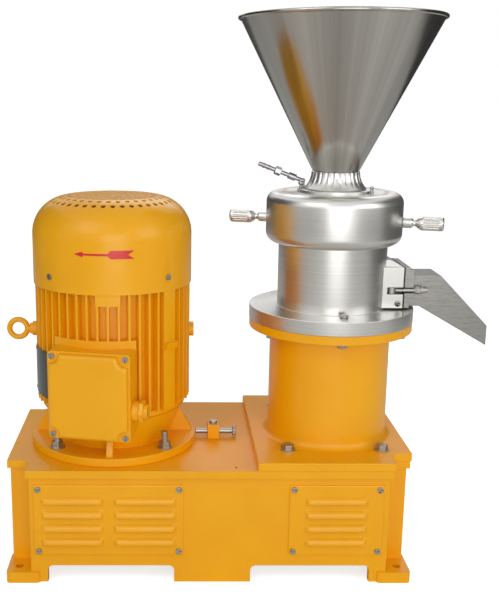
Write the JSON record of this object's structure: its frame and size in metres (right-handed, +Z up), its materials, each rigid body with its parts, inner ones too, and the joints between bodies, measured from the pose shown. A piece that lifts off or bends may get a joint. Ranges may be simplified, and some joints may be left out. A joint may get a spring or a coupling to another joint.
{
  "type": "colloid mill",
  "caption": "Upright split colloid mill: flange motor and grinding head on one base, belt drive inside, adjusting ring with grips, feed hopper above, side outlet chute.",
  "frame": {"origin": "floor level, in the middle of the four floor bolts", "axes": "+X from the motor to the outlet chute, +Y from the terminal-box side to the back, +Z up"},
  "size_m": [0.857, 0.3807, 0.9578],
  "materials": {
    "enamel": "gloss",
    "stainless": "brushed",
    "bearing_steel": "ground",
    "zinc": "zinc plated",
    "iron": "machined",
    "rubber": "matte",
    "plastic": "matte"
  },
  "bodies": {
    "frame": {"base_frame": "enamel", "front_left_cover": "enamel", "front_right_cover": "enamel", "rear_left_cover": "enamel", "rear_right_cover": "enamel", "cover_screws": "zinc", "bearing_housing": "enamel", "base_bolts": "zinc", "lower_bearing_cap": "iron", "upper_bearing_cap": "iron", "bearing_cap_screws": "zinc", "mill_bearing_outer_rings": "bearing_steel", "v_belts": "rubber", "grinding_chamber": "stainless", "chamber_bolts": "zinc", "seal_seat": "iron", "guide_pins": "bearing_steel", "outlet_gasket": "rubber", "chute": "stainless", "swing_bolt_pin": "zinc", "jack_block": "enamel"},
    "motor_unit": {"motor_end_shield": "enamel", "motor_frame": "enamel", "motor_rear_shield": "enamel", "motor_stator_core": "iron", "motor_bearing_outer_rings": "bearing_steel", "fan_cowl": "enamel", "motor_screws": "zinc", "terminal_box": "enamel", "terminal_lid": "enamel", "terminal_board": "plastic", "cable_gland": "enamel", "eye_bolt": "enamel", "motor_studs": "zinc"},
    "motor_rotor": {"motor_shaft": "bearing_steel", "motor_rotor_core": "iron", "motor_bearing_inner_sets": "bearing_steel", "cooling_fan": "plastic", "motor_pulley": "iron"},
    "mill_rotor": {"main_shaft": "bearing_steel", "mill_bearing_inner_sets": "bearing_steel", "mill_pulley": "iron", "seal_ring": "stainless", "rotor": "stainless", "rotor_nut": "stainless"},
    "adjust_ring": {"adjusting_ring": "stainless", "grease_nipple": "zinc"},
    "left_grip": {"left_handle": "stainless"},
    "right_grip": {"right_handle": "stainless"},
    "stator_head": {"stator_carrier": "stainless", "stator": "stainless", "carrier_seal": "rubber", "water_nozzle": "stainless", "vent_plug": "stainless", "hopper_nut": "stainless", "hopper": "stainless"},
    "outlet_bolt": {"swing_bolt": "zinc"},
    "outlet_nut": {"clamp_nut": "zinc"},
    "belt_screw": {"jack_screw": "zinc"}
  },
  "joints": [
    {"name": "motor_slide", "type": "slide", "parent": "frame", "child": "motor_unit", "axis": [1, 0, 0], "range_m": [-0.006, 0.006], "deforming": ["v_belts"]},
    {"name": "motor_spin", "type": "hinge", "parent": "motor_unit", "child": "motor_rotor", "pos_m": [-0.171, -0.015, 0.3], "axis": [0, 0, 1], "continuous": true},
    {"name": "mill_spin", "type": "hinge", "parent": "frame", "child": "mill_rotor", "pos_m": [0.22, -0.015, 0.3], "axis": [0, 0, 1], "continuous": true},
    {"name": "ring_turn", "type": "hinge", "parent": "frame", "child": "adjust_ring", "pos_m": [0.22, -0.015, 0.6], "axis": [0, 0, 1], "range_deg": [0, 180]},
    {"name": "stator_lift", "type": "slide", "parent": "frame", "child": "stator_head", "axis": [0, 0, 1], "range_m": [0, 0.002]},
    {"name": "left_handle_turn", "type": "hinge", "parent": "adjust_ring", "child": "left_grip", "pos_m": [0.07655, 0.02886, 0.6123], "axis": [-0.9563, 0.2924, 0], "range_deg": [-360, 0]},
    {"name": "right_handle_turn", "type": "hinge", "parent": "adjust_ring", "child": "right_grip", "pos_m": [0.36345, -0.05886, 0.6123], "axis": [0.9563, -0.2924, 0], "range_deg": [-360, 0]},
    {"name": "outlet_bolt_swing", "type": "hinge", "parent": "frame", "child": "outlet_bolt", "pos_m": [0.319, -0.057, 0.494], "axis": [0, 0, -1], "range_deg": [0, 100]},
    {"name": "outlet_nut_turn", "type": "hinge", "parent": "outlet_bolt", "child": "outlet_nut", "pos_m": [0.366, -0.057, 0.494], "axis": [1, 0, 0], "range_deg": [-720, 0]},
    {"name": "belt_screw_turn", "type": "hinge", "parent": "motor_unit", "child": "belt_screw", "pos_m": [0, -0.015, 0.218], "axis": [1, 0, 0], "range_deg": [-1441, 1441]}
  ],
  "couplings": [
    {"joint": "mill_spin", "follows": "motor_spin", "ratio": 1},
    {"joint": "stator_lift", "follows": "ring_turn", "m_per_rad": 0.000636},
    {"joint": "belt_screw_turn", "follows": "motor_slide", "rad_per_m": 4188.8}
  ]
}
